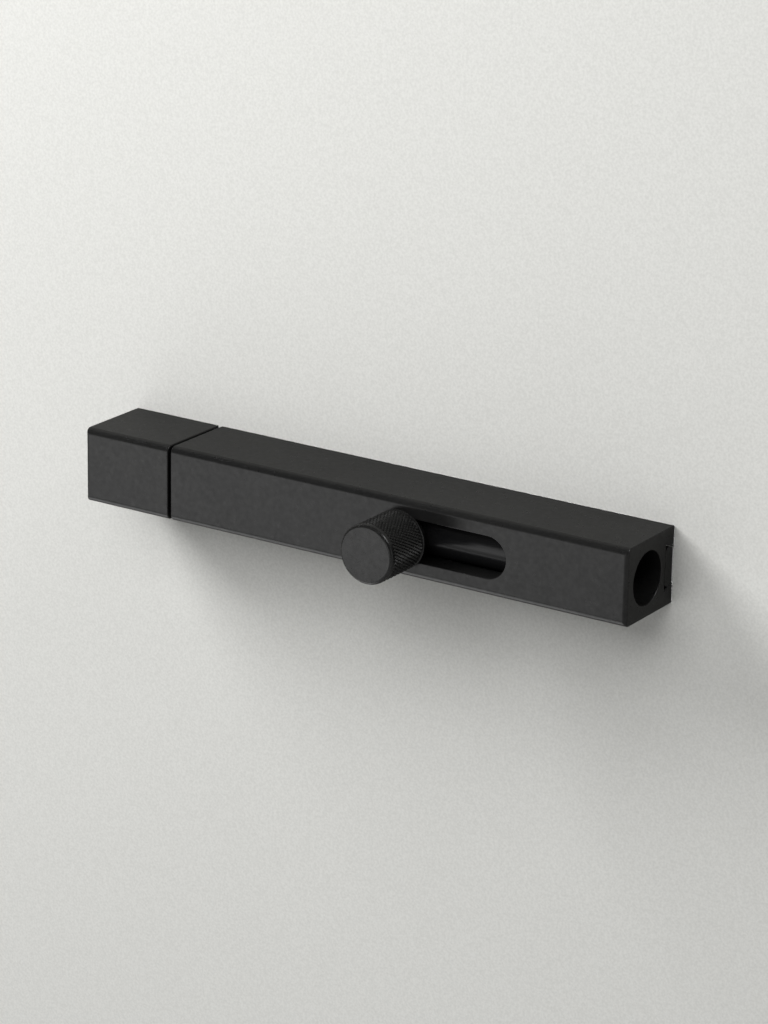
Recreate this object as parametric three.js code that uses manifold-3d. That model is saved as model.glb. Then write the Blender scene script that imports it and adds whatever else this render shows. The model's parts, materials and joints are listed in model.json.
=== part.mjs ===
// A surface-mounted barrel bolt of square section, for a pair of door leaves.
//
// Two lengths of the same bar lie in line along X: the housing on one leaf, and the keeper, a short
// block, on the other. A round rod slides along X in the housing's bore and into the keeper. A knurled
// knob, screwed to the rod through a slot in the front face, moves it. Each bar slides onto a dovetail
// rail that is screwed to its leaf, and set screws from below lock it there, so no screw shows in front.
//
// Millimetres. +X runs along the bar, away from the keeper. -Y faces the user, and the leaves' faces
// lie on Y = 0. +Z is up. The origin is the middle of the back face of the housing's rail.
// The rod is drawn thrown, in the keeper, and TRAVEL along +X draws it back.

import * as THREE from "three";
import { mergeVertices } from "three/addons/utils/BufferGeometryUtils.js";
import Module from "manifold-3d";

const wasm = await Module();
wasm.setup();

// ---- Driving dimensions ----

const FIT_GAP = 0.3; // between pieces that touch

const BAR_HEIGHT = 22;
const BAR_DEPTH = 25;
const BAR_FRONT_RADIUS = 2; // the two long edges towards the user
const BAR_BACK_BREAK = 0.5; // the two long edges on the leaf
const BAR_END_BREAK = 0.5; // round both ends

const HOUSING_LENGTH = 148;
const KEEPER_LENGTH = 29;
const LEAF_GAP = 1; // between housing and keeper

const BORE_RADIUS = 7.5;
const KEEPER_BORE_RADIUS = 8.3;
const KEEPER_END_WALL = 2.5;

const CHANNEL_DEPTH = 4.5; // of the dovetail channel in a bar's back
const CHANNEL_MOUTH = 9.6; // its width on the leaf
const CHANNEL_FLOOR = 13.2; // its width inside
const RAIL_THICKNESS = 4.2;
const RAIL_BEVEL = 1.5; // along the rail's wide edges
const RAIL_INSET = 0.2; // from each end of its bar

const TRAVEL = 27;
const STEM_X = 3.8; // the knob's axis with the bolt thrown
const SLOT_WIDTH = 12;

const ROD_RADIUS = 7.1;
const ROD_TIP_X = -98;
const ROD_TAIL_X = 43; // past the slot's end, so that the rod always backs the slot
const ROD_TIP_CHAMFER = 1.6;
const ROD_TAIL_CHAMFER = 0.5;

const RING_XS = [-66, 40]; // one near each end of the stretch inside the housing
const RING_WIDTH = 2.2;
const RING_INNER_RADIUS = 6.35;
const RING_OUTER_RADIUS = 7.35;
const RING_CHAMFER = 0.3;

const KNOB_RADIUS = 8.5;
const KNOB_PROJECTION = 17.7; // from the housing's front face to the knob's face
const KNOB_STANDOFF = 1.2; // between the housing's front face and the knob's back
const KNOB_CHAMFER = 0.6;

const STUD_RADIUS = 2.9;
const STUD_CHAMFER = 0.6;
const STUD_IN_KNOB = 11;
const STUD_IN_ROD = 8.6;

const BUSH_FLANGE_RADIUS = 7.4;
const BUSH_FLANGE = 0.6; // its thickness

const BALL_X = -45;
const BALL_RADIUS = 2;
const BALL_CLEARANCE = 0.1; // to the bore's back wall
const BALL_CLICK = 0.4; // how far it springs out into a dimple
const SPRING_FLOOR = 1; // the ball's pocket ends this far in front of the rod's axis
const SPRING_RADIUS = 1.5; // to the middle of the wire
const SPRING_WIRE_RADIUS = 0.22;
const SPRING_TURNS = 4;

const LINER_FUNNEL_DEPTH = 0.8;
const LINER_FUNNEL_WIDTH = 0.4;

const WOOD_SCREW_LENGTH = 20;
const WOOD_SCREW_RADIUS = 1.6;
const WOOD_SCREW_HEAD_RADIUS = 3.3;
const WOOD_SCREW_RIM = 0.25;
const WOOD_SCREW_SINK = 0.1; // of the head, below the rail's face
const WOOD_SCREW_POINT = 4;
const RECESS_DEPTH = 1.6; // of the cross recess
const RECESS_SPAN = 3;
const RECESS_SLOT = 0.8;

const SET_SCREW_LENGTH = 4.6;
const SET_SCREW_RADIUS = 1.5;
const SOCKET_DEPTH = 1.5;
const SOCKET_RADIUS = 0.87;

const HOUSING_SCREW_XS = [-62, -22, 22, 62];
const HOUSING_LOCK_XS = [-42, 42];
const KEEPER_SCREW_OFFSET = 8.5; // either side of the keeper's middle

// ---- Places that follow from them ----

const HOUSING_MIN_X = -HOUSING_LENGTH / 2;
const HOUSING_MAX_X = HOUSING_LENGTH / 2;
const KEEPER_MAX_X = HOUSING_MIN_X - LEAF_GAP;
const KEEPER_MIN_X = KEEPER_MAX_X - KEEPER_LENGTH;
const KEEPER_MIDDLE_X = (KEEPER_MIN_X + KEEPER_MAX_X) / 2;
const KEEPER_SCREW_XS = [KEEPER_MIDDLE_X - KEEPER_SCREW_OFFSET, KEEPER_MIDDLE_X + KEEPER_SCREW_OFFSET];

const FRONT_Y = -BAR_DEPTH;
const BORE_Y = FRONT_Y + BAR_HEIGHT / 2; // the bore is centred in the front square of the section
const ROD_FRONT_Y = BORE_Y - ROD_RADIUS;
const BALL_Y = BORE_Y + BORE_RADIUS - BALL_CLEARANCE - BALL_RADIUS;
const SPRING_Y = BORE_Y - SPRING_FLOOR + FIT_GAP;
const SET_SCREW_Y = -CHANNEL_DEPTH / 2;

const ROUND_SEGMENTS = 64;
const RING_SEGMENTS = 48;
const SMALL_SEGMENTS = 24;
const OVERRUN = 1; // of a cutter past what it cuts

// ---- Solids ----

// A closed geometry as a manifold-3d solid.
function solid(geometry) {
  const bare = new THREE.BufferGeometry().setAttribute("position", geometry.getAttribute("position"));
  bare.setIndex(geometry.index);
  const merged = mergeVertices(bare, 1e-4);
  return new wasm.Manifold(
    new wasm.Mesh({
      numProp: 3,
      vertProperties: new Float32Array(merged.getAttribute("position").array),
      triVerts: new Uint32Array(merged.index.array),
    }),
  );
}

// A manifold-3d solid as a flat-shaded geometry.
function geometryOf(body) {
  const { vertProperties, triVerts } = body.getMesh();
  const geometry = new THREE.BufferGeometry()
    .setAttribute("position", new THREE.BufferAttribute(vertProperties, 3))
    .setIndex(new THREE.BufferAttribute(triVerts, 1))
    .toNonIndexed();
  geometry.computeVertexNormals();
  return geometry;
}

// Cuts each tool, in turn, out of a geometry.
function cut(geometry, ...tools) {
  return geometryOf(tools.reduce((left, tool) => left.subtract(solid(tool)), solid(geometry)));
}

// Extrudes a shape drawn in the section's plane, (y, z), from x0 to x1. A bevel breaks its end edges.
function alongX(shape, x0, x1, bevel = 0) {
  const geometry = new THREE.ExtrudeGeometry(shape, {
    depth: x1 - x0 - 2 * bevel,
    bevelEnabled: bevel > 0,
    bevelThickness: bevel,
    bevelSize: bevel,
    bevelOffset: -bevel,
    bevelSegments: 1,
    curveSegments: 8,
  });
  const sectionToRow = new THREE.Matrix4().makeBasis(
    new THREE.Vector3(0, 1, 0),
    new THREE.Vector3(0, 0, 1),
    new THREE.Vector3(1, 0, 0),
  );
  return geometry.applyMatrix4(sectionToRow).translate(x0 + bevel, 0, 0);
}

// A cylinder along Y, from y0 to y1.
function roundAlongY(radius, y0, y1, x = 0) {
  return new THREE.CylinderGeometry(radius, radius, y1 - y0, SMALL_SEGMENTS).translate(x, (y0 + y1) / 2, 0);
}

// A cylinder along Z, from z0 to z1.
function roundAlongZ(radius, z0, z1, x, y) {
  return new THREE.CylinderGeometry(radius, radius, z1 - z0, SMALL_SEGMENTS)
    .rotateX(Math.PI / 2)
    .translate(x, y, (z0 + z1) / 2);
}

// Turns a profile of [radius, place along the axis] pairs about Y.
function turned(profile, segments = ROUND_SEGMENTS) {
  return new THREE.LatheGeometry(profile.map(([r, along]) => new THREE.Vector2(r, along)), segments);
}

// The same, about X.
function turnedAlongX(profile, segments = ROUND_SEGMENTS) {
  return turned(profile, segments).rotateZ(-Math.PI / 2);
}

// ---- The bar's section, shared by the housing and the keeper ----

function barShape() {
  const half = BAR_HEIGHT / 2;
  const front = BAR_FRONT_RADIUS;
  const back = BAR_BACK_BREAK;
  const shape = new THREE.Shape();
  shape.moveTo(FRONT_Y, -half + front);
  shape.absarc(FRONT_Y + front, -half + front, front, Math.PI, 1.5 * Math.PI, false);
  shape.lineTo(-back, -half);
  shape.lineTo(0, -half + back);
  shape.lineTo(0, half - back);
  shape.lineTo(-back, half);
  shape.lineTo(FRONT_Y + front, half);
  shape.absarc(FRONT_Y + front, half - front, front, 0.5 * Math.PI, Math.PI, false);
  return shape;
}

// Half the dovetail channel's width at a depth in from the leaf.
function channelHalf(depth) {
  return (CHANNEL_MOUTH + ((CHANNEL_FLOOR - CHANNEL_MOUTH) * depth) / CHANNEL_DEPTH) / 2;
}

// A dovetail whose widths in the section's plane are [depth, half width] pairs.
function dovetailShape(widths) {
  const shape = new THREE.Shape();
  widths.forEach(([depth, half], i) => (i ? shape.lineTo(-depth, half) : shape.moveTo(-depth, half)));
  widths.toReversed().forEach(([depth, half]) => shape.lineTo(-depth, -half));
  return shape;
}

// A length of bar with its dovetail channel, before any bore.
function bar(x0, x1) {
  const widths = [-OVERRUN, CHANNEL_DEPTH].map((depth) => [depth, channelHalf(depth)]);
  const channel = alongX(dovetailShape(widths), x0 - OVERRUN, x1 + OVERRUN);
  return cut(alongX(barShape(), x0, x1, BAR_END_BREAK), channel);
}

// ---- Housing ----

function bore(radius, x0, x1) {
  return turnedAlongX([[0, x0], [radius, x0], [radius, x1], [0, x1]]).translate(0, BORE_Y, 0);
}

// The cone that breaks a bore's edge at a bar's end. `out` is the way that its mouth faces along X.
function boreMouth(radius, x, out) {
  const reach = BAR_END_BREAK + OVERRUN;
  const narrow = [radius - OVERRUN, x - out * reach];
  const wide = [radius + reach, x + out * OVERRUN];
  const [first, last] = out > 0 ? [narrow, wide] : [wide, narrow];
  return turnedAlongX([[0, first[1]], first, last, [0, last[1]]]).translate(0, BORE_Y, 0);
}

// The knob's slot, a round-ended opening from the front face into the bore.
function slot() {
  const radius = SLOT_WIDTH / 2;
  const shape = new THREE.Shape();
  shape.absarc(STEM_X + TRAVEL, 0, radius, -Math.PI / 2, Math.PI / 2, false);
  shape.absarc(STEM_X, 0, radius, Math.PI / 2, 1.5 * Math.PI, false);
  const depth = BORE_Y - FRONT_Y + OVERRUN;
  return new THREE.ExtrudeGeometry(shape, { depth, bevelEnabled: false, curveSegments: 20 })
    .rotateX(Math.PI / 2)
    .translate(0, BORE_Y, 0);
}

// The dimple that the detent ball clicks into with the rod drawn back by `shift`.
function dimple(shift) {
  const radius = BALL_RADIUS + FIT_GAP;
  return new THREE.SphereGeometry(radius, 20, 14).translate(BALL_X + shift, BALL_Y + BALL_CLICK, 0);
}

function lockHole(x) {
  const radius = SET_SCREW_RADIUS + FIT_GAP;
  return roundAlongZ(radius, -BAR_HEIGHT / 2 - OVERRUN, -CHANNEL_MOUTH / 2, x, SET_SCREW_Y);
}

function housingBody() {
  return cut(
    bar(HOUSING_MIN_X, HOUSING_MAX_X),
    bore(BORE_RADIUS, HOUSING_MIN_X - OVERRUN, HOUSING_MAX_X + OVERRUN),
    boreMouth(BORE_RADIUS, HOUSING_MAX_X, 1),
    boreMouth(BORE_RADIUS, HOUSING_MIN_X, -1),
    slot(),
    dimple(0),
    dimple(TRAVEL),
    ...HOUSING_LOCK_XS.map(lockHole),
  );
}

// ---- Keeper ----

function keeperBody() {
  return cut(
    bar(KEEPER_MIN_X, KEEPER_MAX_X),
    bore(KEEPER_BORE_RADIUS, KEEPER_MIN_X + KEEPER_END_WALL, KEEPER_MAX_X + OVERRUN),
    boreMouth(KEEPER_BORE_RADIUS, KEEPER_MAX_X, 1),
    lockHole(KEEPER_MIDDLE_X),
  );
}

// The plastic sleeve that the rod enters. A funnel eases its mouth, at the +X end.
function keeperLiner() {
  const outer = KEEPER_BORE_RADIUS - FIT_GAP;
  const inner = ROD_RADIUS + FIT_GAP;
  const x0 = KEEPER_MIN_X + KEEPER_END_WALL + FIT_GAP;
  const x1 = KEEPER_MAX_X - FIT_GAP;
  return turnedAlongX([
    [inner, x0],
    [outer, x0],
    [outer, x1],
    [inner + LINER_FUNNEL_WIDTH, x1],
    [inner, x1 - LINER_FUNNEL_DEPTH],
    [inner, x0],
  ]).translate(0, BORE_Y, 0);
}

// ---- Rails, and the screws that hold them ----

// Room for a countersunk screw: its shank, and a cone for its head.
function screwRoom(x) {
  const head = WOOD_SCREW_HEAD_RADIUS + FIT_GAP;
  const shank = WOOD_SCREW_RADIUS + FIT_GAP;
  const coneTop = -RAIL_THICKNESS + WOOD_SCREW_SINK + WOOD_SCREW_RIM;
  const profile = [
    [0, -RAIL_THICKNESS - OVERRUN],
    [head, -RAIL_THICKNESS - OVERRUN],
    [head, coneTop],
    [shank, coneTop + head - shank],
    [shank, OVERRUN],
    [0, OVERRUN],
  ];
  return turned(profile, SMALL_SEGMENTS).translate(x, 0, 0);
}

// A rail fills its channel, less the fit's gap.
function rail(x0, x1, screwXs) {
  const bevelStart = RAIL_THICKNESS - RAIL_BEVEL;
  const widths = [0, bevelStart].map((depth) => [depth, channelHalf(depth) - FIT_GAP]);
  widths.push([RAIL_THICKNESS, channelHalf(RAIL_THICKNESS) - FIT_GAP - RAIL_BEVEL]);
  const blank = alongX(dovetailShape(widths), x0 + RAIL_INSET, x1 - RAIL_INSET);
  return cut(blank, ...screwXs.map(screwRoom));
}

// A countersunk wood screw with a cross recess. Its head's face is on Y = 0 and it points along +Y.
function woodScrew() {
  const neck = WOOD_SCREW_RIM + WOOD_SCREW_HEAD_RADIUS - WOOD_SCREW_RADIUS;
  const profile = [
    [0, 0],
    [WOOD_SCREW_HEAD_RADIUS, 0],
    [WOOD_SCREW_HEAD_RADIUS, WOOD_SCREW_RIM],
    [WOOD_SCREW_RADIUS, neck],
    [WOOD_SCREW_RADIUS, WOOD_SCREW_LENGTH - WOOD_SCREW_POINT],
    [0, WOOD_SCREW_LENGTH],
  ];
  return cut(
    turned(profile, SMALL_SEGMENTS),
    new THREE.BoxGeometry(RECESS_SPAN, 2 * RECESS_DEPTH, RECESS_SLOT),
    new THREE.BoxGeometry(RECESS_SLOT, 2 * RECESS_DEPTH, RECESS_SPAN),
  );
}

// A set screw with a hexagon socket. Its socket end is on Z = 0 and it points along +Z.
function setScrew() {
  const socket = new THREE.CylinderGeometry(SOCKET_RADIUS, SOCKET_RADIUS, 2 * SOCKET_DEPTH, 6);
  return cut(roundAlongZ(SET_SCREW_RADIUS, 0, SET_SCREW_LENGTH, 0, 0), socket.rotateX(Math.PI / 2));
}

// ---- Rod and what rides on it ----

// The stretch of the rod's profile that a glide ring sits in.
function ringGroove(x) {
  const half = RING_WIDTH / 2 + FIT_GAP;
  const floor = RING_INNER_RADIUS - FIT_GAP;
  return [[ROD_RADIUS, x - half], [floor, x - half], [floor, x + half], [ROD_RADIUS, x + half]];
}

function rod() {
  const blank = turnedAlongX([
    [0, ROD_TIP_X],
    [ROD_RADIUS - ROD_TIP_CHAMFER, ROD_TIP_X],
    [ROD_RADIUS, ROD_TIP_X + ROD_TIP_CHAMFER],
    ...RING_XS.flatMap(ringGroove),
    [ROD_RADIUS, ROD_TAIL_X - ROD_TAIL_CHAMFER],
    [ROD_RADIUS - ROD_TAIL_CHAMFER, ROD_TAIL_X],
    [0, ROD_TAIL_X],
  ]).translate(0, BORE_Y, 0);
  const studEnd = ROD_FRONT_Y + STUD_IN_ROD + FIT_GAP;
  const studHole = roundAlongY(STUD_RADIUS + FIT_GAP, ROD_FRONT_Y - OVERRUN, studEnd, STEM_X);
  const pocket = roundAlongY(BALL_RADIUS + FIT_GAP, BORE_Y - SPRING_FLOOR, BORE_Y + BORE_RADIUS, BALL_X);
  return cut(blank, studHole, pocket);
}

function glideRing() {
  const half = RING_WIDTH / 2;
  const corner = RING_OUTER_RADIUS - RING_CHAMFER;
  return turnedAlongX([
    [RING_INNER_RADIUS, -half],
    [corner, -half],
    [RING_OUTER_RADIUS, -half + RING_CHAMFER],
    [RING_OUTER_RADIUS, half - RING_CHAMFER],
    [corner, half],
    [RING_INNER_RADIUS, half],
    [RING_INNER_RADIUS, -half],
  ], RING_SEGMENTS);
}

// A coil about Y that rises from Y = 0 by `rise`.
class Helix extends THREE.Curve {
  constructor(rise) {
    super();
    this.rise = rise;
  }
  getPoint(t) {
    const angle = 2 * Math.PI * SPRING_TURNS * t;
    return new THREE.Vector3(SPRING_RADIUS * Math.cos(angle), this.rise * t, SPRING_RADIUS * Math.sin(angle));
  }
}

// The spring behind the ball. Its fixed end is on Y = 0.
function detentSpring() {
  const length = BALL_Y - BALL_RADIUS - FIT_GAP - SPRING_Y;
  const wire = new THREE.Shape().absarc(0, 0, SPRING_WIRE_RADIUS, 0, 2 * Math.PI, false);
  return new THREE.ExtrudeGeometry(wire, {
    steps: 14 * SPRING_TURNS,
    curveSegments: 3,
    extrudePath: new Helix(length - 2 * SPRING_WIRE_RADIUS),
  }).translate(0, SPRING_WIRE_RADIUS, 0);
}

// The knob. Its back is on Y = 0 and it stands out along -Y.
function knob() {
  const length = KNOB_PROJECTION - KNOB_STANDOFF;
  const body = turned([
    [0, -length],
    [KNOB_RADIUS - KNOB_CHAMFER, -length],
    [KNOB_RADIUS, -length + KNOB_CHAMFER],
    [KNOB_RADIUS, -KNOB_CHAMFER],
    [KNOB_RADIUS - KNOB_CHAMFER, 0],
    [0, 0],
  ]);
  return cut(body, roundAlongY(STUD_RADIUS + FIT_GAP, -STUD_IN_KNOB - FIT_GAP, OVERRUN));
}

// The stud that joins knob and rod. Its end in the rod is on Y = 0.
function stud() {
  const length = STUD_IN_ROD + ROD_FRONT_Y - FRONT_Y + KNOB_STANDOFF + STUD_IN_KNOB;
  return turned([
    [0, -length],
    [STUD_RADIUS - STUD_CHAMFER, -length],
    [STUD_RADIUS, -length + STUD_CHAMFER],
    [STUD_RADIUS, -STUD_CHAMFER],
    [STUD_RADIUS - STUD_CHAMFER, 0],
    [0, 0],
  ], SMALL_SEGMENTS);
}

// The flanged bush that guides the stud in the slot. The flange's inner face is on Y = 0.
function slotBush() {
  const barrelRadius = SLOT_WIDTH / 2 - FIT_GAP;
  const barrelLength = ROD_FRONT_Y - FRONT_Y - 2 * FIT_GAP;
  const hole = STUD_RADIUS + FIT_GAP;
  return turned([
    [hole, -BUSH_FLANGE],
    [BUSH_FLANGE_RADIUS, -BUSH_FLANGE],
    [BUSH_FLANGE_RADIUS, 0],
    [barrelRadius, 0],
    [barrelRadius, barrelLength],
    [hole, barrelLength],
    [hole, -BUSH_FLANGE],
  ], RING_SEGMENTS);
}

// ---- Assembly ----

function metal(color, roughness, metalness) {
  return new THREE.MeshStandardMaterial({ color, roughness, metalness });
}

const blackAnodised = metal(0x1b1b1c, 0.45, 0.7);
const knurledBlack = metal(0x161616, 0.4, 0.7);
const blackenedSteel = metal(0x1f1f21, 0.35, 0.9);
const zincSteel = metal(0xa8aaac, 0.35, 1);
const springSteel = metal(0xc8c9ca, 0.2, 1);
const blackAcetal = new THREE.MeshStandardMaterial({ color: 0x121212, roughness: 0.5, metalness: 0 });

function named(name, geometry, material, x = 0, y = 0, z = 0) {
  const mesh = new THREE.Mesh(geometry, material);
  mesh.name = name;
  mesh.position.set(x, y, z);
  return mesh;
}

function group(...members) {
  return new THREE.Group().add(...members);
}

function woodScrews(prefix, xs) {
  const y = -RAIL_THICKNESS + WOOD_SCREW_SINK;
  return xs.map((x, i) => named(`${prefix}_${i + 1}`, woodScrew(), zincSteel, x, y, 0));
}

// Each set screw ends just short of the rail's widest edge.
function lockScrew(name, x) {
  const railEdge = channelHalf(RAIL_THICKNESS - RAIL_BEVEL) - FIT_GAP;
  const z = -railEdge - FIT_GAP / 2 - SET_SCREW_LENGTH;
  return named(name, setScrew(), blackenedSteel, x, SET_SCREW_Y, z);
}

const housing = group(
  named("housing_body", housingBody(), blackAnodised),
  named("housing_rail", rail(HOUSING_MIN_X, HOUSING_MAX_X, HOUSING_SCREW_XS), blackAnodised),
  ...woodScrews("housing_rail_screw", HOUSING_SCREW_XS),
  ...HOUSING_LOCK_XS.map((x, i) => lockScrew(`housing_lock_screw_${i + 1}`, x)),
);

const keeper = group(
  named("keeper_body", keeperBody(), blackAnodised),
  named("keeper_liner", keeperLiner(), blackAcetal),
  named("keeper_rail", rail(KEEPER_MIN_X, KEEPER_MAX_X, KEEPER_SCREW_XS), blackAnodised),
  ...woodScrews("keeper_rail_screw", KEEPER_SCREW_XS),
  lockScrew("keeper_lock_screw", KEEPER_MIDDLE_X),
);

const bolt = group(
  named("bolt_rod", rod(), blackenedSteel),
  ...RING_XS.map((x, i) => named(`rod_glide_ring_${i + 1}`, glideRing(), blackAcetal, x, BORE_Y, 0)),
  named("detent_spring", detentSpring(), springSteel, BALL_X, SPRING_Y, 0),
  named("detent_ball", new THREE.SphereGeometry(BALL_RADIUS, 24, 16), springSteel, BALL_X, BALL_Y, 0),
  named("knob", knob(), knurledBlack, STEM_X, FRONT_Y - KNOB_STANDOFF, 0),
  named("knob_stud", stud(), zincSteel, STEM_X, ROD_FRONT_Y + STUD_IN_ROD, 0),
  named("slot_bush", slotBush(), blackAcetal, STEM_X, FRONT_Y - FIT_GAP, 0),
);

export default group(housing, keeper, bolt);
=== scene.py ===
"""The looks of a square-bar barrel bolt: its detailed pieces, materials, a plain pale stage and a camera.

Metres, in the CAD model's frame: +X along the bar, -Y towards the user, +Z up, the door leaves on Y = 0.
"""

import json
import math

import bmesh
import bpy
from mathutils import Matrix, Vector


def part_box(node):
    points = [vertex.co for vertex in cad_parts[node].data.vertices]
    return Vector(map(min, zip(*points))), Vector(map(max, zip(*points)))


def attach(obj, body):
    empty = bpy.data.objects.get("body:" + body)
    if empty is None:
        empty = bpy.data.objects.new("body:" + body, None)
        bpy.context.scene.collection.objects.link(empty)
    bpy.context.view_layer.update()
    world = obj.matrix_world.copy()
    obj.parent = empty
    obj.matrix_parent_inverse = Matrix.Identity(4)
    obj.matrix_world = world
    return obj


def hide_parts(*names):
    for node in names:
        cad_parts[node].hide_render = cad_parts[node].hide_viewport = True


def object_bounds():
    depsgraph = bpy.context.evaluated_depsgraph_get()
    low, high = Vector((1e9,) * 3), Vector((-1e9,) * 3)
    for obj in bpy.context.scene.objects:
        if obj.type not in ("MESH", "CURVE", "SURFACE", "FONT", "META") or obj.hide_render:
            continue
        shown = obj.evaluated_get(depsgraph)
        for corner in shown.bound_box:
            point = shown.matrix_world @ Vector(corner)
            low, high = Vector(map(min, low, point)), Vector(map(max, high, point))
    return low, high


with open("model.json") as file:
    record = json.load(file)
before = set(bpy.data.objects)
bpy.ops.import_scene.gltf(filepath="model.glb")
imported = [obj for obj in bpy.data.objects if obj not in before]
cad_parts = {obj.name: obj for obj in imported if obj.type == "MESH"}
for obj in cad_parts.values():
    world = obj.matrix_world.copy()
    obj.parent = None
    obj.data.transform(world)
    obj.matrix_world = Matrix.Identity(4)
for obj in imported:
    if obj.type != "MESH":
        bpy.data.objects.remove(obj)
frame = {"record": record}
cad_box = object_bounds()

MM = 0.001

# ---- Places that the frame gives ----

HOUSING_LO, HOUSING_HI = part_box("housing_body")
KEEPER_LO, KEEPER_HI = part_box("keeper_body")
ROD_LO, ROD_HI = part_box("bolt_rod")
KNOB_LO, KNOB_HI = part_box("knob")
STUD_LO, STUD_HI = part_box("knob_stud")
BUSH_LO, BUSH_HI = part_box("slot_bush")
LINER_LO, LINER_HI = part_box("keeper_liner")
BALL_LO, BALL_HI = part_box("detent_ball")
SPRING_LO, SPRING_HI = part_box("detent_spring")
JOINTS = {joint["name"]: joint for joint in frame["record"]["behaviour"]["joints"]}
TRAVEL = JOINTS["bolt_slide"]["range_m"][1]

FRONT_Y = HOUSING_LO[1]
HALF_HEIGHT = HOUSING_HI[2]
BORE_Y = (ROD_LO[1] + ROD_HI[1]) / 2
ROD_RADIUS = (ROD_HI[2] - ROD_LO[2]) / 2
STEM_X = (KNOB_LO[0] + KNOB_HI[0]) / 2
KNOB_RADIUS = (KNOB_HI[0] - KNOB_LO[0]) / 2
BALL = (Vector(BALL_LO) + Vector(BALL_HI)) / 2
BALL_RADIUS = (BALL_HI[2] - BALL_LO[2]) / 2
STUD_RADIUS = (STUD_HI[0] - STUD_LO[0]) / 2

# ---- Sizes of the detailed pieces ----

BORE_RADIUS = 7.5 * MM
KEEPER_BORE_RADIUS = 8.3 * MM
KEEPER_END_WALL = 2.5 * MM
SLOT_RADIUS = 6 * MM
FRONT_RADIUS = 2 * MM
BACK_RADIUS = 0.5 * MM
CHANNEL_DEPTH = 4.5 * MM
CHANNEL_MOUTH = 9.6 * MM
CHANNEL_FLOOR = 13.2 * MM
END_BREAK = 0.35 * MM
FRONT_END_BREAK = 1.2 * MM
LIP_BREAK = 0.25 * MM
RAIL_BEVEL = 1.5 * MM

# The gap round a piece that stands inside another.
GAP = 0.3 * MM

# How far a cutter reaches past the surface that it cuts.
OVERRUN = 1 * MM

# Points round a large and a small circle, and steps in a quarter circle.
ROUND = 128
SMALL_ROUND = 48
ARC_STEPS = 6

BODY_FIXED = "housing_and_keeper"
BODY_MOVING = "bolt"
BODY_BALL = "detent_ball"


# ---- Mesh helpers ----


def object_of(name, build):
    """A new object whose mesh is what build(bm) makes, with its faces pointing out."""
    bm = bmesh.new()
    build(bm)
    bmesh.ops.remove_doubles(bm, verts=bm.verts, dist=1e-7)
    bmesh.ops.dissolve_degenerate(bm, edges=bm.edges, dist=1e-8)
    bmesh.ops.recalc_face_normals(bm, faces=bm.faces)
    mesh = bpy.data.meshes.new(name)
    bm.to_mesh(mesh)
    bm.free()
    piece = bpy.data.objects.new(name, mesh)
    bpy.context.scene.collection.objects.link(piece)
    return piece


def join_loops(bm, first, second):
    """Faces between two rings of vertices. A ring of one vertex is a point."""
    count = max(len(first), len(second))
    for i in range(count):
        j = (i + 1) % count
        corners = [
            first[i % len(first)],
            first[j % len(first)],
            second[j % len(second)],
            second[i % len(second)],
        ]
        unique = list(dict.fromkeys(corners))
        if len(unique) > 2:
            bm.faces.new(unique)


def lofted(name, loops):
    """A closed mesh through loops of points, with flat caps."""

    def build(bm):
        rings = [[bm.verts.new(point) for point in loop] for loop in loops]
        for first, second in zip(rings, rings[1:]):
            join_loops(bm, first, second)
        bm.faces.new(rings[0])
        bm.faces.new(list(reversed(rings[-1])))

    return object_of(name, build)


def turned(name, profile, centre, axis="X", segments=ROUND):
    """Turns a profile about an axis through centre.

    The profile is (radius, place) pairs, and a place is the distance from centre along the axis.
    """
    along = {"X": Vector((1, 0, 0)), "Y": Vector((0, 1, 0)), "Z": Vector((0, 0, 1))}[axis]
    side = {"X": Vector((0, 1, 0)), "Y": Vector((0, 0, 1)), "Z": Vector((1, 0, 0))}[axis]
    other = along.cross(side)
    middle = Vector(centre)

    def ring(bm, radius, place):
        foot = middle + along * place
        if radius <= 0:
            return [bm.verts.new(foot)]
        turns = [2 * math.pi * i / segments for i in range(segments)]
        return [bm.verts.new(foot + (side * math.cos(a) + other * math.sin(a)) * radius) for a in turns]

    def build(bm):
        rings = [ring(bm, radius, place) for radius, place in profile]
        for first, second in zip(rings, rings[1:]):
            join_loops(bm, first, second)

    return object_of(name, build)


def filleted(corners, steps=ARC_STEPS, closed=False):
    """A 2-D outline from (x, y, fillet radius) corners, with each fillet as an arc."""
    outline = []
    count = len(corners)
    for i, (x, y, radius) in enumerate(corners):
        here = Vector((x, y))
        if radius <= 0 or (not closed and i in (0, count - 1)):
            outline.append(here)
            continue
        back = (Vector(corners[i - 1][:2]) - here).normalized()
        ahead = (Vector(corners[(i + 1) % count][:2]) - here).normalized()
        half = back.angle(ahead) / 2
        centre = here + (back + ahead).normalized() * (radius / math.sin(half))
        start = here + back * (radius / math.tan(half)) - centre
        end = here + ahead * (radius / math.tan(half)) - centre
        sweep = math.atan2(start.x * end.y - start.y * end.x, start.dot(end))
        for k in range(steps + 1):
            outline.append(centre + Matrix.Rotation(sweep * k / steps, 2) @ start)
    return outline


def arc(steps=ARC_STEPS):
    """(how far in, how far along) pairs of a quarter circle of radius 1, from a face's edge inwards."""
    angles = [math.pi / 2 * k / steps for k in range(steps + 1)]
    return [(1 - math.sin(angle), 1 - math.cos(angle)) for angle in angles]


def apply_modifiers(piece):
    """Replaces a piece's mesh by what its modifiers make of it."""
    bpy.context.view_layer.update()
    rough = piece.data
    shaped = piece.evaluated_get(bpy.context.evaluated_depsgraph_get())
    piece.data = bpy.data.meshes.new_from_object(shaped)
    piece.modifiers.clear()
    bpy.data.meshes.remove(rough)


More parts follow.
